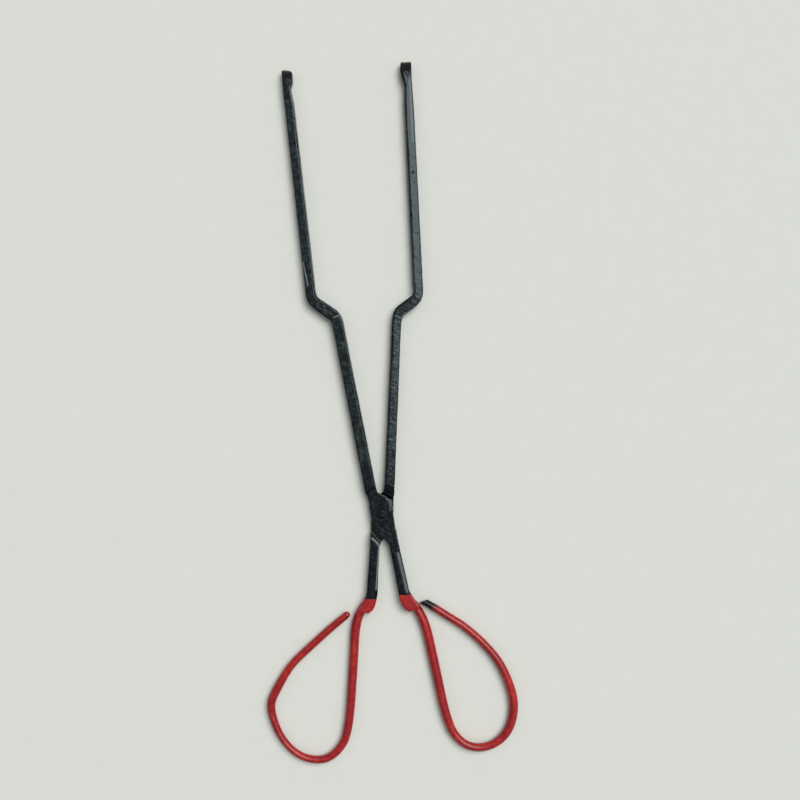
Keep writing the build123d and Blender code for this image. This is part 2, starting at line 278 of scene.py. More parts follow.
def loft(name, rings):
    """Closed skin through rings of equally many points."""
    count = len(rings[0])
    points = [p for ring in rings for p in ring]
    faces = [tuple(range(count))[::-1]]
    for r in range(len(rings) - 1):
        low, high = r * count, (r + 1) * count
        for i in range(count):
            j = (i + 1) % count
            faces.append((low + i, low + j, high + j, high + i))
    last = (len(rings) - 1) * count
    faces.append(tuple(last + i for i in range(count)))
    obj = mesh_object(name, points, faces)
    tidy_normals(obj)
    return obj


def tidy_normals(obj):
    """Turns all faces outwards."""
    bm = bmesh.new()
    bm.from_mesh(obj.data)
    bmesh.ops.recalc_face_normals(bm, faces=bm.faces)
    bm.to_mesh(obj.data)
    bm.free()


def prism(name, outline, low, high):
    """Upright prism over an outline, with a flat or a sloping top given per corner."""
    tops = high if isinstance(high, (list, tuple)) else [high] * len(outline)
    bottom = [(x, y, low) for x, y in outline]
    top = [(x, y, z) for (x, y), z in zip(outline, tops)]
    return loft(name, [bottom, top])


def apply_modifiers(obj):
    """Replaces the mesh by what its modifiers make of it."""
    bpy.context.view_layer.update()
    evaluated = obj.evaluated_get(bpy.context.evaluated_depsgraph_get())
    made = bpy.data.meshes.new_from_object(evaluated)
    obj.modifiers.clear()
    old = obj.data
    obj.data = made
    bpy.data.meshes.remove(old)


def remove(obj):
    """Deletes a helper object and its mesh."""
    mesh = obj.data
    bpy.data.objects.remove(obj)
    bpy.data.meshes.remove(mesh)


def cut_away(obj, cutters):
    """Subtracts the cutters, which are used up."""
    for cutter in cutters:
        difference = obj.modifiers.new("cut", "BOOLEAN")
        difference.operation = "DIFFERENCE"
        difference.solver = "EXACT"
        difference.object = cutter
        apply_modifiers(obj)
        remove(cutter)


def join(name, parts):
    """One object from several, which are used up."""
    bm = bmesh.new()
    for part in parts:
        bm.from_mesh(part.data)
    mesh = bpy.data.meshes.new(name)
    bm.to_mesh(mesh)
    bm.free()
    for part in parts:
        remove(part)
    obj = bpy.data.objects.new(name, mesh)
    bpy.context.scene.collection.objects.link(obj)
    return obj


def weld(name, parts, voxel):
    """Forge-welds closed overlapping parts into one continuous skin."""
    obj = join(name, parts)
    remesh = obj.modifiers.new("weld", "REMESH")
    remesh.mode = "VOXEL"
    remesh.voxel_size = voxel
    apply_modifiers(obj)
    return obj


# ---------------------------------------------------------------- arrays


def get_points(obj):
    points = np.empty(len(obj.data.vertices) * 3)
    obj.data.vertices.foreach_get("co", points)
    return points.reshape(-1, 3)


def set_points(obj, points):
    obj.data.vertices.foreach_set("co", points.ravel())
    obj.data.update()


def get_normals(obj):
    normals = np.empty(len(obj.data.vertices) * 3)
    obj.data.vertices.foreach_get("normal", normals)
    return normals.reshape(-1, 3)


def get_edges(obj):
    edges = np.empty(len(obj.data.edges) * 2, int)
    obj.data.edges.foreach_get("vertices", edges)
    return edges.reshape(-1, 2)


def neighbour_mean(values, edges):
    """Mean of each point's neighbours."""
    total = np.zeros_like(values)
    np.add.at(total, edges[:, 0], values[edges[:, 1]])
    np.add.at(total, edges[:, 1], values[edges[:, 0]])
    count = np.bincount(edges.ravel(), minlength=len(values)).astype(float)
    shape = (-1,) + (1,) * (values.ndim - 1)
    return total / np.maximum(count, 1).reshape(shape)


def smooth(obj, rounds, shrink=0.5, regrow=-0.52):
    """Evens the skin out and rounds its edges, keeping its volume."""
    points, edges = get_points(obj), get_edges(obj)
    for step in range(2 * rounds):
        factor = shrink if step % 2 == 0 else regrow
        points += factor * (neighbour_mean(points, edges) - points)
    set_points(obj, points)


def noise_at(points, size, seed=0.0, stretch=(1, 1, 1)):
    """Smooth noise from -1 to 1, whose bumps are about size across."""
    scaled = points / (np.array(stretch) * size) + seed
    return np.array([noise.noise(Vector(p)) for p in scaled])


def distance_to_line(points, line):
    """Distance of each point to a polyline."""
    best = np.full(len(points), np.inf)
    line = np.array(line, float)
    for a, b in zip(line[:-1], line[1:]):
        span = b - a
        share = np.clip(((points - a) @ span) / max(span @ span, 1e-12), 0, 1)
        best = np.minimum(best, np.linalg.norm(points - (a + share[:, None] * span), axis=1))
    return best


def set_attribute(obj, name, values):
    """Stores one number per point for the material."""
    attribute = obj.data.attributes.new(name, "FLOAT", "POINT")
    attribute.data.foreach_set("value", np.asarray(values, np.float32))


# ---------------------------------------------------------------- bars and reins


def dense(points, step):
    """Points along a smooth curve through the given ones, straight on long runs."""
    given = [np.array(p, float) for p in points]
    held = [given[0]]
    for a, b in zip(given[:-1], given[1:]):
        length = np.linalg.norm(b[:2] - a[:2])
        if length > 12:
            held += [a + (b - a) * 3 / length, a + (b - a) * (1 - 3 / length)]
        held.append(b)
    ends = [2 * held[0] - held[1]] + held + [2 * held[-1] - held[-2]]
    curve = []
    for p0, p1, p2, p3 in zip(ends[:-3], ends[1:-2], ends[2:-1], ends[3:]):
        count = max(1, int(np.linalg.norm(p2[:2] - p1[:2]) / step))
        gaps = [max(np.linalg.norm(q[:2] - p[:2]), 1e-6) ** 0.5 for p, q in ((p0, p1), (p1, p2), (p2, p3))]
        t0, t1 = 0.0, gaps[0]
        t2, t3 = t1 + gaps[1], t1 + gaps[1] + gaps[2]
        for t in np.linspace(t1, t2, count, endpoint=False):
            a1 = (t1 - t) / (t1 - t0) * p0 + (t - t0) / (t1 - t0) * p1
            a2 = (t2 - t) / (t2 - t1) * p1 + (t - t1) / (t2 - t1) * p2
            a3 = (t3 - t) / (t3 - t2) * p2 + (t - t2) / (t3 - t2) * p3
            b1 = (t2 - t) / (t2 - t0) * a1 + (t - t0) / (t2 - t0) * a2
            b2 = (t3 - t) / (t3 - t1) * a2 + (t - t1) / (t3 - t1) * a3
            curve.append((t2 - t) / (t2 - t1) * b1 + (t - t1) / (t2 - t1) * b2)
    curve.append(held[-1])
    return curve


def bar_ring(near, far, thickness, roll=0.0, grow=0.0):
    """Rounded rectangular ring across a bar, rolled within the same outline."""
    across = (far - near) / np.linalg.norm(far - near)
    half_width = np.linalg.norm(far - near) / 2 + grow
    half_height = thickness / 2 + grow
    middle = (near + far) / 2
    corner = min(EDGE_RADIUS, half_width * 0.9, half_height * 0.9)
    cos, sin = math.cos(math.radians(roll)), abs(math.sin(math.radians(roll)))
    flat_width = ((half_width - corner) * cos - (half_height - corner) * sin) / (cos * cos - sin * sin)
    flat_height = ((half_height - corner) * cos - (half_width - corner) * sin) / (cos * cos - sin * sin)
    turn_way = math.copysign(sin, roll * across[0])
    ring = []
    for side_x, side_z, start in ((1, 1, 0), (-1, 1, 90), (-1, -1, 180), (1, -1, 270)):
        for turn in range(0, 91, 18):
            angle = math.radians(start + turn)
            u = side_x * flat_width + corner * math.cos(angle)
            v = side_z * flat_height + corner * math.sin(angle)
            u, v = u * cos + v * turn_way, v * cos - u * turn_way
            x, y = middle + across * u
            ring.append((x, y, BAR_MIDDLE + v))
    return ring


def bar(name, stations, rolls=None, grow=0.0):
    """Forged bar through its stations."""
    rolls = rolls or [0.0] * len(stations)
    joined = [(*near, *far, thickness, roll) for (near, far, thickness), roll in zip(stations, rolls)]
    rings = []
    for cut in dense(joined, BAR_STEP):
        rings.append(bar_ring(cut[0:2], cut[2:4], cut[4], cut[5], grow))
    return loft(name, rings)


def rounded_path(corners, rounds=4):
    """Smooth line inside the corners: each round cuts every corner again."""
    path = [np.array(c, float) for c in corners]
    for _ in range(rounds):
        finer = [path[0]]
        for a, b in zip(path[:-1], path[1:]):
            finer += [0.75 * a + 0.25 * b, 0.25 * a + 0.75 * b]
        finer.append(path[-1])
        path = finer
    return np.array(path)


def rein_profile(corners):
    """Centreline of a rein, its direction, its radius and the length from its start, at each point."""
    line = rounded_path(corners)
    path, radius = line[:, :2], line[:, 2]
    steps = np.linalg.norm(np.diff(path, axis=0), axis=1)
    travelled = np.concatenate([[0], np.cumsum(steps)])
    along = np.gradient(path, axis=0)
    along /= np.linalg.norm(along, axis=1)[:, None]
    return path, along, radius, travelled


def length_left(points, corners):
    """Length along the rein from each point to the rein's open end."""
    path, _, _, travelled = rein_profile(corners)
    nearest = np.array([np.argmin(np.sum((path - p) ** 2, axis=1)) for p in points[:, :2]])
    return travelled[-1] - travelled[nearest]


def round_ring(centre, along, radius, square=0.0):
    """Ring across a rein that runs along: hammered round, with four soft ridges left of the square bar."""
    side = np.array([-along[1], along[0]])
    ring = []
    for angle in np.linspace(0, 2 * math.pi, 24, endpoint=False):
        reach = radius * (1 - square * (1 - math.cos(4 * angle)) / 2)
        x, y = centre + side * reach * math.cos(angle)
        ring.append((x, y, BAR_MIDDLE + reach * math.sin(angle)))
    return ring


def rein(name, corners, grow=0.0, stop=0.0, rounded=True):
    """Round rein, which stops short of its last corner. Its end is rounded or square."""
    path, along, radius, travelled = rein_profile(corners)
    keep = travelled <= travelled[-1] - stop
    rings = []
    for point, way, size, gone in zip(path[keep], along[keep], radius[keep], travelled[keep]):
        square = REIN_SQUARENESS * (0.6 + 0.4 * math.sin(gone / 17.0))
        rings.append(round_ring(point, way, size + grow, square))
    tip, way, size = path[keep][-1], along[keep][-1], radius[keep][-1] + grow
    if rounded:
        for angle in (20, 40, 60, 75, 86):
            turn = math.radians(angle)
            rings.append(round_ring(tip + way * size * math.sin(turn), way, size * math.cos(turn)))
    return loft(name, rings)


# ---------------------------------------------------------------- limbs


def wall_line(wall, reach):
    """Both ends of a step wall, run on past the bar."""
    start, end = np.array(wall[0]), np.array(wall[1])
    along = (end - start) / np.linalg.norm(end - start) * reach
    return start - along, end + along


def lap_cutter():
    """Takes the lower half of the boss away."""
    a, b = wall_line(LAP_WALL_ARM, 13)
    c, d = wall_line(LAP_WALL_SHANK, 13)
    return prism("lap", [tuple(a), tuple(b), tuple(c), tuple(d)], -2.0, LAP_HEIGHT)


def face_cutters():
    """Take the shallow outer recess away: flat over the plate, then a ramp at the shank."""
    a, b = wall_line(FACE_STEP_ARM, 9)
    reach = 14.0
    start_y = RAMP_START_Y + 0.01
    flat = [tuple(a), tuple(b), (-reach, RAMP_START_Y), (reach, RAMP_START_Y)]
    ramp = [(-reach, start_y), (-reach, RAMP_END_Y), (reach, RAMP_END_Y), (reach, start_y)]
    floor = [RECESS_FLOOR, BAR_THICKNESS + 0.02, BAR_THICKNESS + 0.02, RECESS_FLOOR]
    rings = [[(x, y, z) for (x, y), z in zip(ramp, floor)], [(x, y, BAR_THICKNESS + 3) for x, y in ramp]]
    return [prism("recess", flat, RECESS_FLOOR, BAR_THICKNESS + 3), loft("ramp", rings)]


def chisel(obj, corners):
    """Cuts the rein's open end off at a slant, by sliding back whatever lies beyond the cut."""
    points = get_points(obj)
    last, before = np.array(corners[-1][:2]), np.array(corners[-2][:2])
    way = (last - before) / np.linalg.norm(last - before)
    cut = np.array(CHISEL_CUT[0]) - np.array(CHISEL_CUT[1])
    outwards = np.array([-cut[1], cut[0]]) / np.linalg.norm(cut)
    beyond = (points[:, :2] - np.array(CHISEL_CUT[1])) @ outwards
    gone = (points[:, :2] - last) @ way
    aside = (points[:, :2] - last) @ np.array([way[1], -way[0]])
    beyond[(gone < -BARE_END_LENGTH) | (gone > 0.1) | (np.abs(aside) > 2.8)] = 0
    points[:, :2] -= np.clip(beyond, 0, None)[:, None] * way / (way @ outwards)
    set_points(obj, points)


def bore_cutter():
    """Takes the rivet's bore away."""
    angles = np.linspace(0, 2 * math.pi, 33)[:-1]
    circle = [(BORE_RADIUS * math.cos(angle), BORE_RADIUS * math.sin(angle)) for angle in angles]
    return prism("bore", circle, -2.0, BAR_THICKNESS + 2)


def boss(arm, shank):
    """Full-height boss block between arm and shank."""
    outline = [arm[0][0]] + BOSS_INNER_SIDE + [shank[0][1], shank[0][0]] + BOSS_OUTER_SIDE + [arm[0][1]]
    block = prism("boss", outline, 0.0, BAR_THICKNESS)
    rim = block.modifiers.new("rim", "BEVEL")
    rim.width = BOSS_RIM
    rim.segments = 3
    rim.limit_method = "ANGLE"
    apply_modifiers(block)
    return block


def overlapping(arm):
    """Station a little inside the boss, so that arm and boss weld."""
    near, far, thickness = arm[0]
    return ((near[0] - 0.05, near[1] - 2.0), (far[0] + 0.6, far[1] - 2.0), thickness - 0.1)


def overlapping_shank(shank):
    """Station a little inside the boss, so that shank and boss weld."""
    near, far, thickness = shank[0]
    return ((near[0], near[1] + 2.0), (far[0], far[1] + 2.0), thickness - 0.1)


def limb_skin(limb):
    """Whole forging of one limb, before the local work and the hammer marks."""
    arm_bar = bar("arm", [overlapping(limb["arm"])] + limb["arm"], [0.0] + limb["rolls"])
    shank_bar = bar("shank", [overlapping_shank(limb["shank"])] + limb["shank"])
    block = boss(limb["arm"], limb["shank"])
    for part in (arm_bar, block, shank_bar):
        cut_away(part, [lap_cutter(), bore_cutter()] + face_cutters())
    core = rein("core", limb["rein"], rounded=not limb["chiselled"])
    if limb["chiselled"]:
        chisel(core, limb["rein"])
    obj = weld(f"forged_{limb['name']}_limb", [arm_bar, block, shank_bar, core], VOXEL)
    smooth(obj, 3)
    return obj


def side_of(points, start, end):
    """Signed distance in plan to a line from start to end, positive on its left."""
    start, end = np.array(start), np.array(end)
    along = (end - start) / np.linalg.norm(end - start)
    return along[0] * (points[:, 1] - start[1]) - along[1] * (points[:, 0] - start[0])


def press(points, ceiling, face):
    """Forges a face down to a ceiling above the bar's middle. face is 1 for the top, -1 for below."""
    height = face * (points[:, 2] - BAR_MIDDLE)
    points[:, 2] = BAR_MIDDLE + face * np.minimum(height, ceiling)


def across_line(points, line):
    """How far each point lies from a line that runs along the bar, positive towards the bar's inner edge."""
    ys = [y for x, y in line][::-1]
    xs = [x for x, y in line][::-1]
    return np.interp(points[:, 1], ys, xs) - points[:, 0]


def groove(points, marks, face):
    """Narrow marks on one face: each is a line, a width and a depth."""
    on_face = face * (points[:, 2] - BAR_MIDDLE) > 0.8
    for line, width, depth in marks:
        away = distance_to_line(points[:, :2], line)
        points[:, 2] -= face * on_face * depth * np.exp(-((away / width) ** 2))


def smooth_step(value):
    """Eases from 0 to 1 as the value does."""
    value = np.clip(value, 0, 1)
    return value * value * (3 - 2 * value)


def work_lap(points):
    """Slopes of the lap side: the arm runs down to its wall, and the shank rises in two lips."""
    wall = side_of(points, LAP_WALL_ARM[1], LAP_WALL_ARM[0])
    crest = side_of(points, LAP_CREST[0], LAP_CREST[1])
    share = np.clip(wall / np.maximum(wall + crest, 0.01), 0, 1)
    foot = LAP_HEIGHT_AT_WALL
    arm = np.where(crest > 0, foot + (BAR_MIDDLE - foot) * share ** 0.8, np.inf)
    arm = np.where(wall < 0, np.maximum(foot + LAP_DIP_SLOPE * wall, -LAP_DIP), arm)
    press(points, np.where((wall > -LAP_DIP_REACH) & (points[:, 1] > 2), arm, np.inf), -1)
    first = side_of(points, FIRST_LIP[1], FIRST_LIP[0])
    second = side_of(points, SECOND_LIP[1], SECOND_LIP[0])
    share = first / np.maximum(first - second, 0.3)
    share = np.where(points[:, 1] < -8, share, 5.0)
    rise = np.interp(share, [at for at, height in LIP_PROFILE], [height for at, height in LIP_PROFILE])
    press(points, np.where(share < LIP_PROFILE[-1][0], rise, np.inf), -1)


def work_plate(points):
    """The arm comes down to the plate in a slope, and the plate is dished where the hammer set it down."""
    inside = side_of(points, FACE_STEP_ARM[1], FACE_STEP_ARM[0])
    inside = inside + 0.5 * noise_at(points, 4.0, 2.0)
    foot = RECESS_FLOOR - BAR_MIDDLE - PLATE_DISH
    slope = foot + 0.75 * np.clip(inside + 1.0, 0, None)
    dish = foot + PLATE_DISH * smooth_step((-inside - 1.0) / 5.0)
    ceiling = np.where(inside > -1.0, slope, dish)
    press(points, np.where((inside < 1.2) & (points[:, 1] > 2), ceiling, np.inf), 1)


def edge_lines(limb):
    """Inner and outer edge of a limb's bars, as lines in plan."""
    stations = limb["arm"][::-1] + limb["shank"]
    return [near for near, far, thickness in stations], [far for near, far, thickness in stations]


def half_thickness(points, limb):
    """Half the bar's thickness at each point's place along the limb."""
    stations = limb["shank"][::-1] + limb["arm"]
    middles = [(near[1] + far[1]) / 2 for near, far, thickness in stations]
    return np.interp(points[:, 1], middles, [thickness / 2 for near, far, thickness in stations])


def work_edges(points, limb):
    """Uneven facets that the hammer left along the bar's edges, on both faces."""
    half = half_thickness(points, limb)
    on_shank = (points[:, 1] < BOSS_SHANK_Y - 1) & (points[:, 1] > -60.0)
    on_bars = (points[:, 1] > 20.0) | on_shank
    for line, width in zip(edge_lines(limb), limb["facets"]):
        away = distance_to_line(points[:, :2], line)
        wide = width * (1 + 0.45 * noise_at(points, 6.0, limb["seed"] + width, (1, 2.5, 1)))
        ceiling = half - FACET_SLOPE * np.clip(wide - away, 0, None)
        for face in (1, -1):
            press(points, np.where(on_bars & (away < 3.0), ceiling, np.inf), face)


def work_upper_shank(points):
    """The upper limb's shank is crowned across its top."""
    on_shank = smooth_step((BOSS_SHANK_Y - points[:, 1]) / 6.0) * smooth_step((points[:, 1] + 62.0) / 4.0)
    across = np.clip(np.abs(points[:, 0] - 4.0) / 3.3, 0, 1.3)
    press(points, BAR_MIDDLE - SHANK_CROWN * on_shank * across ** 2, 1)


def work_lower_shank(points):
    """The lower limb's shank is flat, with a narrow facet and then a steep one down to its inner edge."""
    inwards = across_line(points, SHANK_GLINT)
    ceiling = BAR_MIDDLE - 0.28 * np.clip(inwards + 0.8, 0, None) - 0.6 * np.clip(inwards, 0, None)
    press(points, np.where(points[:, 1] < BOSS_SHANK_Y, ceiling, np.inf), -1)


def work_nib(points, bevel, face):
    """The nib's end is drawn down to a bevel on the side that shows."""
    beyond = side_of(points, bevel[1], bevel[0])
    drop = NIB_THICKNESS / 2 - NIB_BEVEL_SLOPE * np.clip(beyond, 0, None)
    press(points, np.where(beyond > -0.3, drop, np.inf), face)


def wander(points, limb):
    """How deep the hammer, the scale and the pits have left the skin, in millimetres."""
    depth = SKIN_LOSS
    for height, width, offset, stretch in SKIN_WAVES:
        depth = depth + height * noise_at(points, width, limb["seed"] + offset, stretch)
    pits = np.clip(noise_at(points, PIT_WIDTH, limb["seed"] + PIT_SEED) - PIT_LIMIT, 0, None)
    depth = depth + PIT_DEPTH * pits
    under_coat = points[:, 1] < limb["dip"][0]
    if limb["chiselled"]:
        last = np.array(limb["rein"][-1][:2])
        under_coat &= np.linalg.norm(points[:, :2] - last, axis=1) > BARE_END_LENGTH
    return np.where(under_coat, LOSS_UNDER_COAT, depth)


def store_marks(obj, limb):
    """Attributes for the material: worn edges that also carry a painted highlight, painted highlight lines on
    crests, painted shade on the nib's bevel, the rusty nib end, and the arms painted lighter where the light
    falls.
    """
    points, edges, normals = get_points(obj), get_edges(obj), get_normals(obj)
    even = points
    for _ in range(3):
        even = neighbour_mean(even, edges)
    bulge = -np.einsum("ij,ij->i", even - points, normals)
    low, high = np.percentile(bulge, 84), np.percentile(bulge, 99.2)
    # Convex edges: worn bare, and lightened in the material partly as painted highlight.
    set_attribute(obj, "edge", np.clip((bulge - low) / (high - low), 0, 1))
    on_face = limb["face"] * (points[:, 2] - BAR_MIDDLE) > 0.5
    # Painted highlight lines along the listed crests, on the side that shows.
    painted_highlight = np.zeros(len(points))
    for line, width, brightness in limb["painted_highlights"]:
        away = distance_to_line(points[:, :2], line)
        painted_highlight = np.maximum(painted_highlight, brightness * np.exp(-((away / width) ** 2)))
    set_attribute(obj, "painted_highlight", painted_highlight * on_face)
    # Painted shade on the nib's bevel, which tilts away from the light: darkest beyond the bevel line, fading
    # back along the arm.
    beyond = side_of(points, limb["bevel"][1], limb["bevel"][0])
    set_attribute(obj, "painted_nib_shade", smooth_step(beyond / limb["fade"] + 0.5))
    end = side_of(points, limb["arm"][-1][1], limb["arm"][-1][0])
    set_attribute(obj, "rust", smooth_step((end + 1.5) / 1.0) * (points[:, 1] > 200))
    # Painted light: the arms' colour is lightened from the boss outwards where the window's reflection falls,
    # with painted shade at the jog and the nib.
    jog = np.exp(-(((points[:, 1] - 137.0) / 9.0) ** 2))
    nib = smooth_step((points[:, 1] - 274.0) / 8.0)
    set_attribute(obj, "painted_arm_light", smooth_step((points[:, 1] - 20.0) / 22.0) * (1 - 0.5 * jog) * (1 - 0.8 * nib))


def steel_limb(limb):
    """One finished limb: forged, worked where it shows, hammered and marked."""
    obj = limb_skin(limb)
    face = limb["face"]
    points = get_points(obj)
    work_edges(points, limb)
    work_lap(points)
    work_plate(points)
    work_nib(points, limb["bevel"], face)
    if face == 1:
        work_upper_shank(points)
    else:
        work_lower_shank(points)
    set_points(obj, points)
    smooth(obj, 1)
    points, normals = get_points(obj), get_normals(obj)
    points -= normals * wander(points, limb)[:, None]
    groove(points, limb["marks"], face)
    points[:, 2] = np.clip(points[:, 2], 0.02, BAR_THICKNESS - 0.02)
    set_points(obj, points)
    store_marks(obj, limb)
    finish_piece(obj, limb, f"{limb['name']}_limb", forged_steel())


def finish_piece(obj, limb, node, material):
    """Puts a piece in its place and hands it over to its body, in place of the CAD node."""
    place(obj, limb["face"] == -1)
    shade_smooth(obj)
    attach(obj, limb["body"])
    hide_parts(node)
    obj.data.materials.clear()
    obj.data.materials.append(material)


def place(obj, lower):
    """From the limb frame in millimetres to the row frame in metres."""
    if lower:
        turned = Matrix.Translation((0, 0, BAR_THICKNESS)) @ Matrix.Rotation(math.pi, 4, "Y")
        rest = Matrix.Rotation(math.radians(-LOWER_OPEN_DEG), 4, "Z") @ turned
    else:
        rest = Matrix.Rotation(math.radians(UPPER_OPEN_DEG), 4, "Z")
    obj.data.transform(Matrix.Diagonal((MM, MM, MM, 1)) @ rest)
    obj.data.update()


def shade_smooth(obj):
    obj.data.polygons.foreach_set("use_smooth", [True] * len(obj.data.polygons))


# ---------------------------------------------------------------- dip coats


def coat_skin(limb, stop):
    """Outside of the dip coat: shoulder and rein, grown by the coat."""
    last_near, last_far, thickness = limb["shank"][-1]
    moved = ((last_near[0] + 0.1, last_near[1] - COAT), (last_far[0] + 0.1, last_far[1] - COAT), thickness)
    shoulder = bar("shoulder", limb["shank"][2:-1] + [moved], grow=COAT)
    skin = rein("skin", limb["rein"], COAT, stop, not limb["chiselled"])
    obj = weld(f"dipped_{limb['name']}_handle_coat", [shoulder, skin], VOXEL * 0.9)
    smooth(obj, 3)
    points = get_points(obj)
    normals = get_normals(obj)
    waves = 0.5 + 0.5 * noise_at(points, 9.0, 5.0)
    orange_peel = 0.5 + 0.5 * noise_at(points, 2.2, 9.0)
    points -= normals * (0.05 * waves + 0.025 * orange_peel)[:, None]
    groove(points, limb["coat_marks"], limb["face"])
    set_points(obj, points)
    worn = 1 - smooth_step((length_left(points, limb["rein"]) - stop - 1.0) / 4.0)
    set_attribute(obj, "thin", worn * (1.0 if limb["chiselled"] else 0.12))
    return obj


def dip_coat(limb):
    """One limb's dip coat, trimmed at its dip line."""
    obj = coat_skin(limb, BARE_END_LENGTH if limb["chiselled"] else 0.0)
    trim_above(obj, limb["dip"])
    finish_piece(obj, limb, f"{limb['name']}_handle_coat", red_enamel())


def trim_above(obj, dip):
    """Cuts the coat off above its notched dip line, which crosses the bar at a slant."""
    dip_y, slant = dip
    columns = np.linspace(-4, 16, 41)
    notches = 0.45 * np.array([noise.noise(Vector((x / 2.0, dip_y, 0.4))) for x in columns])
    heights = dip_y + slant * (columns - DIP_MIDDLE_X) + notches
    outline = [(x, y) for x, y in zip(columns, heights)] + [(16.0, dip_y + 20), (-4.0, dip_y + 20)]
    cut_away(obj, [prism("dip", outline, -5.0, BAR_THICKNESS + 5.0)])


# ---------------------------------------------------------------- rivet


def rivet_profile(seat, top, head_radius):
    """Half outline of the rivet, from the middle of its peened tail up to the top of its button head."""
    tail = [(0.0, 0.02), (2.2, 0.02), (3.1, 0.16), (3.35, 0.42), (3.3, 0.68), (2.2, 0.7), (2.2, seat)]
    brim = head_radius * 0.985
    dome = [(head_radius * 0.93, seat), (brim, seat + 0.25)]
    for angle in (15, 30, 45, 58, 70, 80):
        turn = math.radians(angle)
        dome.append((brim * math.cos(turn), seat + 0.25 + (top - seat - 0.25) * math.sin(turn)))
    return tail + dome + [(0.0, top)]


def turned(name, profile):
    """Skin of a half outline turned about the rivet's axis."""
    rings = []
    for radius, z in profile:
        reach = max(radius, 0.001)
        angles = np.linspace(0, 2 * math.pi, RIVET_STEPS, endpoint=False)
        rings.append([(reach * math.cos(angle), reach * math.sin(angle), z) for angle in angles])
    obj = loft(name, rings)
    finer = obj.modifiers.new("finer", "SUBSURF")
    finer.levels = 2
    finer.subdivision_type = "CATMULL_CLARK"
    apply_modifiers(obj)
    return obj


def planish(obj, seat):
    """Hammers flats on the rivet's head and softens their edges."""
    points = get_points(obj)
    centre = np.array([0, 0, seat - 1.0])
    for way, share in RIVET_FLATS:
        way = np.array(way) / np.linalg.norm(way)
        head = points[:, 2] > seat + 0.1
        out = (points - centre) @ way
        limit = share * out[head].max()
        over = head & (out > limit)
        points[over] -= (out[over] - limit)[:, None] * way
    set_points(obj, points)
    smooth(obj, 6)


def roughen(obj, seat):
    """Leaves the rivet's head a little out of round, and its skin uneven."""
    points = get_points(obj)
    above = points[:, 2] > seat - 0.05
    turn = np.arctan2(points[:, 1], points[:, 0])
    out_of_round = 0.95 + 0.04 * np.cos(2 * turn - 1.9) + 0.025 * np.cos(3 * turn + 0.6)
    points[above, :2] *= out_of_round[above, None]
    set_points(obj, points)
    points -= get_normals(obj) * (0.03 + 0.05 * noise_at(points, 1.6, 3.0) ** 2)[:, None]
    set_points(obj, points)


def rivet():
    """Hammered button head above and peened tail below, as one turned form."""
    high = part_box("pivot_rivet")[1]
    seat = RECESS_FLOOR + 0.03
    obj = turned("hammered_rivet", rivet_profile(seat, high.z / MM, high.x / MM))
    planish(obj, seat)
    roughen(obj, seat)
    obj.data.transform(Matrix.Diagonal((MM, MM, MM, 1)))
    shade_smooth(obj)
    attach(obj, "lower_half")
    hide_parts("pivot_rivet")
    obj.data.materials.append(forged_steel())


# ---------------------------------------------------------------- materials


def new_material(name):
    """New node material, its tree and its shader."""
    material = bpy.data.materials.new(name)
    material.use_nodes = True
    tree = material.node_tree
    return material, tree, tree.nodes["Principled BSDF"]


def add(tree, kind, **inputs):
    """New node with some of its inputs set."""
    node = tree.nodes.new(kind)
    for key, value in inputs.items():
        node.inputs[key.replace("_", " ")].default_value = value
    return node


def object_position(tree):
    """Place on the object, in metres."""
    return tree.nodes.new("ShaderNodeTexCoord").outputs["Object"]


def ramp(tree, source, stops):
    """Colour ramp over a value."""
    node = tree.nodes.new("ShaderNodeValToRGB")
    while len(node.color_ramp.elements) < len(stops):
        node.color_ramp.elements.new(0.5)
    for element, (place_at, colour) in zip(node.color_ramp.elements, stops):
        element.position = place_at
        element.color = (*colour, 1)
    tree.links.new(source, node.inputs["Fac"])
    return node.outputs["Color"]


def noise_node(tree, position, scale, detail, roughness):
    """Noise over the object, as a value."""
    node = add(tree, "ShaderNodeTexNoise", Scale=scale, Detail=detail, Roughness=roughness)
    tree.links.new(position, node.inputs["Vector"])
    return node.outputs["Fac"]


def connect(tree, socket, value):
    """Links a socket to another node's output, or sets it to a plain value."""
    if hasattr(value, "is_linked"):
        tree.links.new(value, socket)
    else:
        socket.default_value = value


def mix_colour(tree, factor, first, second, blend="MIX"):
    """Blend of two colours by a factor."""
    node = tree.nodes.new("ShaderNodeMix")
    node.data_type = "RGBA"
    node.blend_type = blend
    for socket, value in ((node.inputs[0], factor), (node.inputs[6], first), (node.inputs[7], second)):
        connect(tree, socket, value)
    return node.outputs[2]


def attribute(tree, name):
    """One of the marks stored on the skin."""
    node = tree.nodes.new("ShaderNodeAttribute")
    node.attribute_name = name
    return node.outputs["Fac"]


def times(tree, first, second):
    """Product of two values."""
    node = tree.nodes.new("ShaderNodeMath")
    node.operation = "MULTIPLY"
    for socket, value in zip(node.inputs, (first, second)):
        connect(tree, socket, value)
    return node.outputs[0]


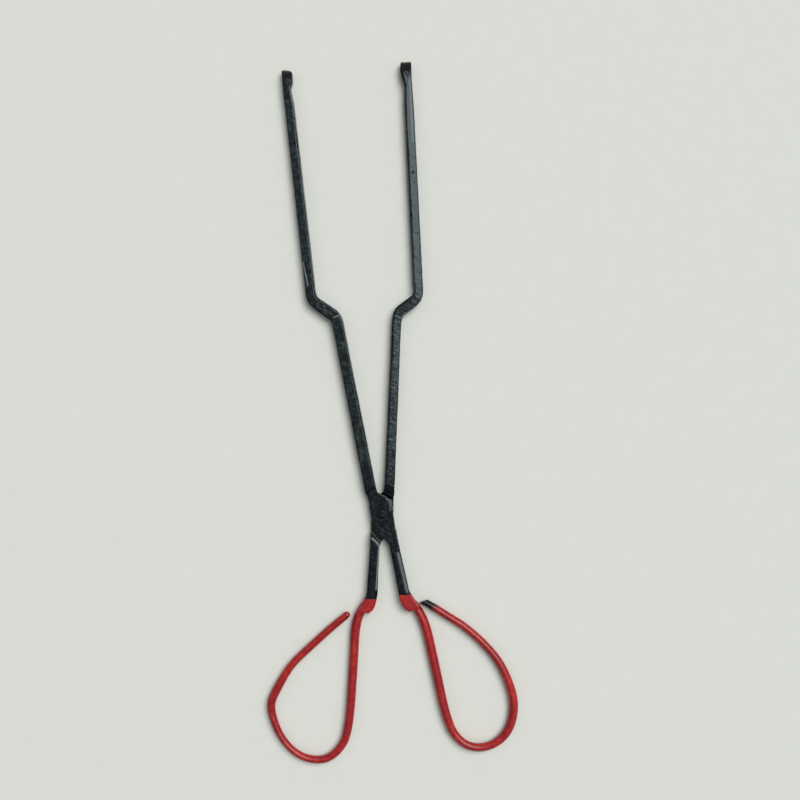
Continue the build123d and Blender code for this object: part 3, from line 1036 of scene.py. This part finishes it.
@functools.cache
def forged_steel():
    """Forge scale over steel: blue-black, painted lighter on the arms where the light falls, bare at worn
    edges with a painted highlight, painted highlight lines on crests, painted shade on the nib's bevel, rusty
    at the nib's end.
    """
    material, tree, shader = new_material("forged_steel")
    position = object_position(tree)
    mottle = noise_node(tree, position, 330.0, 6.0, 0.7)
    patches = noise_node(tree, position, 60.0, 3.0, 0.55)
    speckle = noise_node(tree, position, 800.0, 1.5, 0.5)
    grit = noise_node(tree, position, 1500.0, 2.0, 0.5)
    black = [(0.42, (0.001, 0.001, 0.002)), (0.55, (0.003, 0.003, 0.005)), (0.72, (0.012, 0.014, 0.017))]
    # Lighter copy of the scale colour, painted on the arms to stand in for the window's reflection.
    painted_arm_light = [(0.38, (0.002, 0.004, 0.004)), (0.52, (0.010, 0.015, 0.016)), (0.70, (0.036, 0.048, 0.048))]
    # Painted light: the arms take the lighter ramp, the shanks stay black.
    base = mix_colour(tree, attribute(tree, "painted_arm_light"), ramp(tree, mottle, black), ramp(tree, mottle, painted_arm_light))
    blue = ramp(tree, patches, [(0.42, (0.9, 0.95, 1.0)), (0.62, (0.85, 1.0, 0.95))])
    base = mix_colour(tree, 1.0, base, blue, "MULTIPLY")
    flecks = times(tree, ramp(tree, grit, [(0.60, (0, 0, 0)), (0.74, (1, 1, 1))]), mottle)
    base = mix_colour(tree, flecks, base, (0.10, 0.125, 0.125, 1))
    # Worn bare edges, lightened also as a painted highlight along edges that catch the light.
    worn = times(tree, ramp(tree, attribute(tree, "edge"), [(0.45, (0, 0, 0)), (1.0, (1, 1, 1))]), mottle)
    base = mix_colour(tree, times(tree, worn, 0.5), base, (0.12, 0.145, 0.15, 1))
    # Painted shade: darkens the nib's bevel.
    base = mix_colour(tree, times(tree, attribute(tree, "painted_nib_shade"), 0.8), base, (0.006, 0.004, 0.005, 1))
    base = mix_colour(tree, times(tree, attribute(tree, "rust"), mottle), base, (0.13, 0.11, 0.05, 1))
    # Painted highlight: lightens the colour along the listed crest lines, where they catch the light.
    base = mix_colour(tree, attribute(tree, "painted_highlight"), base, (0.42, 0.46, 0.46, 1))
    tree.links.new(base, shader.inputs["Base Color"])
    roughness = ramp(tree, mottle, [(0.35, (0.17, 0.17, 0.17)), (0.65, (0.34, 0.34, 0.34))])
    tree.links.new(roughness, shader.inputs["Roughness"])
    shader.inputs["Metallic"].default_value = 0.0
    shader.inputs["Specular IOR Level"].default_value = 0.3
    shader.inputs["Specular Tint"].default_value = (0.76, 0.93, 1.0, 1)
    bump = add(tree, "ShaderNodeBump", Strength=1.0, Distance=0.00016)
    tree.links.new(speckle, bump.inputs["Height"])
    tree.links.new(bump.outputs["Normal"], shader.inputs["Normal"])
    return material


@functools.cache
def red_enamel():
    """Glossy red dip coat, crimson with patches of brick, worn dark at the bare end."""
    material, tree, shader = new_material("red_enamel")
    position = object_position(tree)
    mottle = noise_node(tree, position, 420.0, 5.0, 0.65)
    patches = noise_node(tree, position, 70.0, 3.0, 0.5)
    crimson = [(0.3, (0.20, 0.003, 0.006)), (0.5, (0.29, 0.006, 0.010)), (0.7, (0.40, 0.020, 0.022))]
    brick = [(0.3, (0.26, 0.004, 0.005)), (0.5, (0.37, 0.011, 0.010)), (0.7, (0.48, 0.040, 0.028))]
    patchy = ramp(tree, patches, [(0.42, (0, 0, 0)), (0.6, (1, 1, 1))])
    base = mix_colour(tree, patchy, ramp(tree, mottle, crimson), ramp(tree, mottle, brick))
    chips = times(tree, attribute(tree, "thin"), ramp(tree, mottle, [(0.38, (0, 0, 0)), (0.52, (1, 1, 1))]))
    base = mix_colour(tree, chips, base, (0.012, 0.008, 0.010, 1))
    tree.links.new(base, shader.inputs["Base Color"])
    shader.inputs["Roughness"].default_value = 0.3
    bump = add(tree, "ShaderNodeBump", Strength=0.3, Distance=0.00025)
    tree.links.new(mottle, bump.inputs["Height"])
    tree.links.new(bump.outputs["Normal"], shader.inputs["Normal"])
    return material


def floor_paper():
    """Pale matt card."""
    material, tree, shader = new_material("pale_card")
    position = object_position(tree)
    grain = noise_node(tree, position, 90.0, 4.0, 0.6)
    base = ramp(tree, grain, [(0.3, (0.69, 0.715, 0.67)), (0.7, (0.71, 0.735, 0.69))])
    tree.links.new(base, shader.inputs["Base Color"])
    shader.inputs["Roughness"].default_value = 0.8
    return material


# ---------------------------------------------------------------- stage


def floor():
    """Flat card under the tongs."""
    reach = FLOOR_REACH
    corners = [(-reach, -reach, 0), (reach, -reach, 0), (reach, reach, 0), (-reach, reach, 0)]
    obj = mesh_object("floor", corners, [(0, 1, 2, 3)])
    obj.data.materials.append(floor_paper())


def sun(name, towards, strength, spread):
    """Even soft light from one direction, as from a large window far off."""
    light = bpy.data.lights.new(name, "SUN")
    light.energy = strength
    light.angle = math.radians(spread)
    light.color = LAMP_COLOUR
    obj = bpy.data.objects.new(name, light)
    bpy.context.scene.collection.objects.link(obj)
    obj.rotation_euler = Vector(towards).to_track_quat("Z", "Y").to_euler()


def lights():
    """Dim sky, a wide dim ceiling and a brighter window to the upper right."""
    world = bpy.data.worlds.new("studio")
    bpy.context.scene.world = world
    world.use_nodes = True
    sky = world.node_tree.nodes["Background"]
    sky.inputs["Color"].default_value = SKY_COLOUR
    sky.inputs["Strength"].default_value = SKY_STRENGTH
    sun("ceiling", *CEILING)
    sun("window", *WINDOW)


def camera():
    """Looks straight down on the tongs, rolled a little."""
    data = bpy.data.cameras.new("camera")
    data.sensor_width = SENSOR_WIDTH
    data.lens = SENSOR_WIDTH * (CAMERA_HEIGHT - BAR_THICKNESS * MM) / VIEW_WIDTH
    obj = bpy.data.objects.new("camera", data)
    bpy.context.scene.collection.objects.link(obj)
    obj.location = (*VIEW_CENTRE, CAMERA_HEIGHT)
    obj.rotation_euler = (0, 0, math.radians(CAMERA_ROLL_DEG))
    bpy.context.scene.camera = obj


def main():
    """Builds both limbs with their coats, the rivet and the stage."""
    for limb in (UPPER, LOWER):
        steel_limb(limb)
        dip_coat(limb)
    rivet()
    floor()
    lights()
    camera()
    bpy.context.scene.view_settings.view_transform = "Standard"


main()
